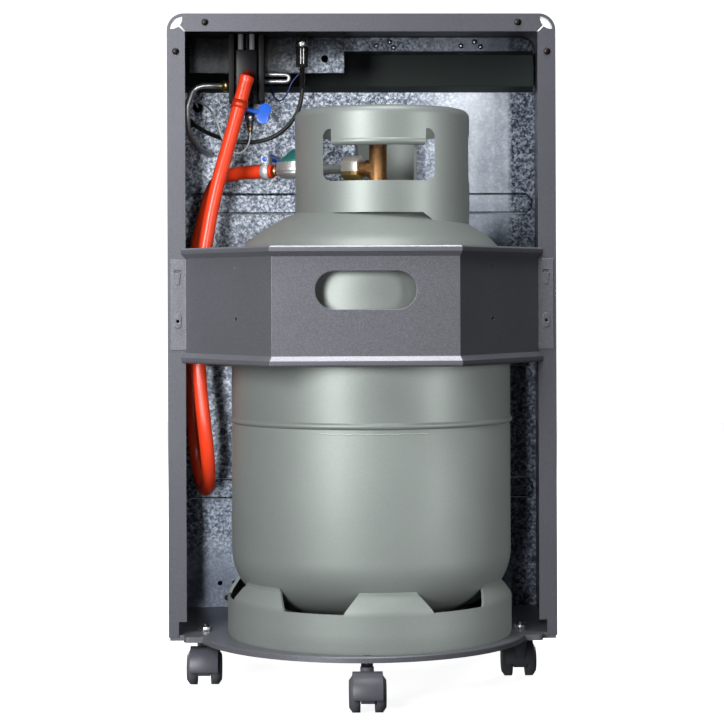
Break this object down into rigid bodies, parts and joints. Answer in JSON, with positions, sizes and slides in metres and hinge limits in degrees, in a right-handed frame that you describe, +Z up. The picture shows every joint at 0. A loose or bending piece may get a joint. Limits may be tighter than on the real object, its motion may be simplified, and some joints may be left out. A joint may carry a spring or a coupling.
{
  "type": "portable gas cabinet heater",
  "caption": "Upright gas heater cabinet on swivel casters, open at the back on a held gas bottle with hose and regulator, with a guarded radiant front.",
  "frame": {"origin": "centre of the footprint, on the floor", "axes": "+Z up; +Y towards the radiant front, so the open back faces -Y; +X to the right as seen from behind"},
  "size_m": [0.42, 0.4606, 0.7324],
  "materials": {
    "shell_paint": "fine-grained metallic grey powder coat",
    "bar_paint": "fine-grained metallic grey powder coat",
    "bottle_paint": "semi-gloss grey-green enamel",
    "galvanised": "spangled zinc",
    "zinc": "bright zinc plate",
    "baffle_paint": "smooth dark satin",
    "bronze_screw": "dark bronzed zinc",
    "black_steel": "satin black",
    "valve_brass": "machined",
    "cast_alloy": "bead-blasted die casting",
    "block_cast": "black coated casting",
    "cap_plastic": "teal moulding",
    "handwheel_plastic": "moulded",
    "knob_plastic": "moulded",
    "thumb_plastic": "saturated blue moulding",
    "hose_rubber": "smooth orange-red",
    "lead_rubber": "silicone sleeve",
    "blue_wire": "thin insulation",
    "thermo_lead": "drawn copper",
    "tube_aluminium": "drawn",
    "igniter_plastic": "moulded",
    "caster_plastic": "moulded",
    "caster_tread": "moulded",
    "ceramic": "fired ceramic",
    "burner_steel": "aluminised",
    "reflector_steel": "bright rolled",
    "guard_chrome": "plated wire",
    "front_paint": "satin heat-resistant paint"
  },
  "bodies": {
    "cabinet": {"cabinet_shell": "shell_paint", "corner_gussets": "zinc", "flange_screws": "bronze_screw", "base_tray": "shell_paint", "caster_stems": "zinc", "caster_nuts": "zinc", "divider_panel": "galvanised", "heat_baffle": "baffle_paint", "strip_screws": "zinc", "bottle_body": "bottle_paint", "bottle_foot_ring": "bottle_paint", "bottle_collar": "bottle_paint", "bottle_valve": "valve_brass", "union_nut": "valve_brass", "regulator_body": "cast_alloy", "regulator_cap": "cap_plastic", "hose_tail": "valve_brass", "control_pan": "black_steel", "valve_block": "block_cast", "valve_channel": "black_steel", "control_bracket": "galvanised", "inlet_spigot": "black_steel", "piezo_igniter": "igniter_plastic", "piezo_nut": "zinc", "lead_grommets": "lead_rubber", "burner_tube": "tube_aluminium", "bypass_tube": "tube_aluminium", "brass_fitting": "valve_brass", "thermocouple_union": "zinc", "thermocouple_ferrule": "valve_brass", "burner_boxes": "burner_steel", "ceramic_plaques": "ceramic", "burner_manifold": "burner_steel", "pilot_assembly": "burner_steel", "reflector": "reflector_steel", "front_frame": "front_paint", "guard_rails": "guard_chrome", "guard_bars": "guard_chrome", "gas_hose": "hose_rubber", "ignition_lead": "lead_rubber", "blue_wire": "blue_wire", "thermocouple_lead": "thermo_lead", "hose_clips": "zinc"},
    "valve_handwheel": {"valve_handwheel": "handwheel_plastic"},
    "retaining_bar": {"retaining_bar": "bar_paint"},
    "control_knob": {"control_knob": "knob_plastic"},
    "igniter_button": {"igniter_button": "knob_plastic"},
    "thumb_screw_upper": {"thumb_screw_upper": "thumb_plastic"},
    "thumb_screw_lower": {"thumb_screw_lower": "thumb_plastic"},
    "caster_hood_left": {"caster_hood_left": "caster_plastic"},
    "caster_wheels_left": {"caster_wheels_left": "caster_tread"},
    "caster_hood_right": {"caster_hood_right": "caster_plastic"},
    "caster_wheels_right": {"caster_wheels_right": "caster_tread"},
    "caster_hood_tail": {"caster_hood_tail": "caster_plastic"},
    "caster_wheels_tail": {"caster_wheels_tail": "caster_tread"},
    "caster_hood_front_left": {"caster_hood_front_left": "caster_plastic"},
    "caster_wheels_front_left": {"caster_wheels_front_left": "caster_tread"},
    "caster_hood_front_right": {"caster_hood_front_right": "caster_plastic"},
    "caster_wheels_front_right": {"caster_wheels_front_right": "caster_tread"}
  },
  "joints": [
    {"name": "bar_lift", "type": "slide", "parent": "cabinet", "child": "retaining_bar", "axis": [0, 0, 1], "range_m": [0, 0.01]},
    {"name": "knob_turn", "type": "hinge", "parent": "cabinet", "child": "control_knob", "pos_m": [-0.1264, 0.02625, 0.72], "axis": [0, 0, 1], "range_deg": [0, 180]},
    {"name": "igniter_push", "type": "slide", "parent": "cabinet", "child": "igniter_button", "axis": [0, 0, -1], "range_m": [0, 0.005], "stiffness_N_per_m": 200, "springref_m": -0.005},
    {"name": "handwheel_turn", "type": "hinge", "parent": "cabinet", "child": "valve_handwheel", "pos_m": [0.018, -0.03575, 0.59], "axis": [0, 0, 1], "range_deg": [0, 1080]},
    {"name": "thumb_upper_turn", "type": "hinge", "parent": "cabinet", "child": "thumb_screw_upper", "pos_m": [-0.13397, 0.00822, 0.62919], "axis": [0.9677, 0, -0.252], "continuous": true},
    {"name": "thumb_lower_turn", "type": "hinge", "parent": "cabinet", "child": "thumb_screw_lower", "pos_m": [-0.10453, 0.02139, 0.57256], "axis": [0.4226, 0.9063, 0], "continuous": true},
    {"name": "swivel_left", "type": "hinge", "parent": "cabinet", "child": "caster_hood_left", "pos_m": [-0.172, -0.02975, 0.035], "axis": [0, 0, 1], "continuous": true},
    {"name": "roll_left", "type": "hinge", "parent": "caster_hood_left", "child": "caster_wheels_left", "pos_m": [-0.172, -0.04815, 0.019], "axis": [1, 0, 0], "continuous": true},
    {"name": "swivel_right", "type": "hinge", "parent": "cabinet", "child": "caster_hood_right", "pos_m": [0.172, -0.02975, 0.035], "axis": [0, 0, 1], "continuous": true},
    {"name": "roll_right", "type": "hinge", "parent": "caster_hood_right", "child": "caster_wheels_right", "pos_m": [0.172, -0.01135, 0.019], "axis": [1, 0, 0], "continuous": true},
    {"name": "swivel_tail", "type": "hinge", "parent": "cabinet", "child": "caster_hood_tail", "pos_m": [0, -0.18925, 0.035], "axis": [0, 0, 1], "continuous": true},
    {"name": "roll_tail", "type": "hinge", "parent": "caster_hood_tail", "child": "caster_wheels_tail", "pos_m": [0, -0.20765, 0.019], "axis": [1, 0, 0], "continuous": true},
    {"name": "swivel_front_left", "type": "hinge", "parent": "cabinet", "child": "caster_hood_front_left", "pos_m": [-0.172, 0.18225, 0.035], "axis": [0, 0, 1], "continuous": true},
    {"name": "roll_front_left", "type": "hinge", "parent": "caster_hood_front_left", "child": "caster_wheels_front_left", "pos_m": [-0.172, 0.16385, 0.019], "axis": [1, 0, 0], "continuous": true},
    {"name": "swivel_front_right", "type": "hinge", "parent": "cabinet", "child": "caster_hood_front_right", "pos_m": [0.172, 0.18225, 0.035], "axis": [0, 0, 1], "continuous": true},
    {"name": "roll_front_right", "type": "hinge", "parent": "caster_hood_front_right", "child": "caster_wheels_front_right", "pos_m": [0.172, 0.16385, 0.019], "axis": [1, 0, 0], "continuous": true}
  ]
}
